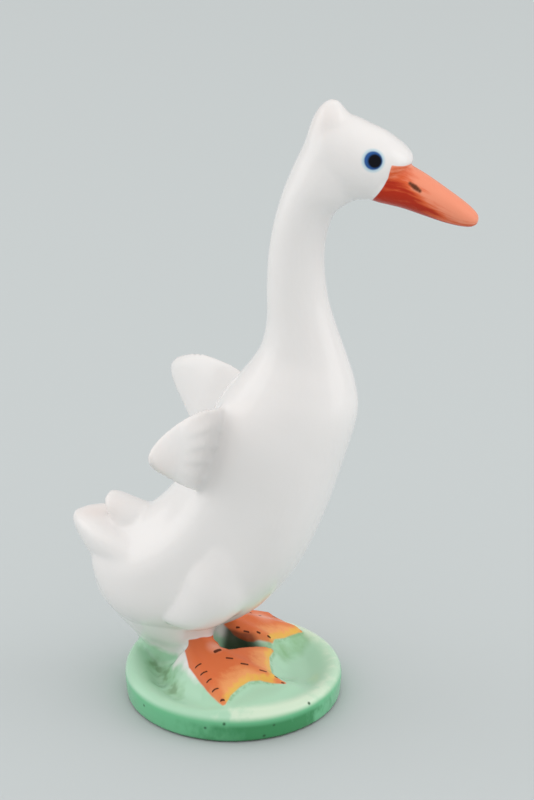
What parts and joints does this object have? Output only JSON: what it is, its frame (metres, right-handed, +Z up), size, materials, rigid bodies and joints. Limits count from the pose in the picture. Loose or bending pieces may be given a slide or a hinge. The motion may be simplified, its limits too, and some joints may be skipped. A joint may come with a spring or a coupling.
{
  "type": "duck figurine",
  "caption": "Glazed porcelain figurine of a tall crested duck with a long neck, small raised wings and webbed feet on a round green base.",
  "frame": {"origin": "under the middle of the bounding box, on the plane that the base stands on", "axes": "+Z up, +X the way the bird faces, +Y its left"},
  "size_m": [0.0844, 0.054, 0.1332],
  "materials": {
    "white_glaze": "glossy white glaze over porcelain, with the bill and feet painted orange and the base green under it"
  },
  "bodies": {
    "root": {"duck_figurine": "white_glaze"}
  },
  "joints": []
}
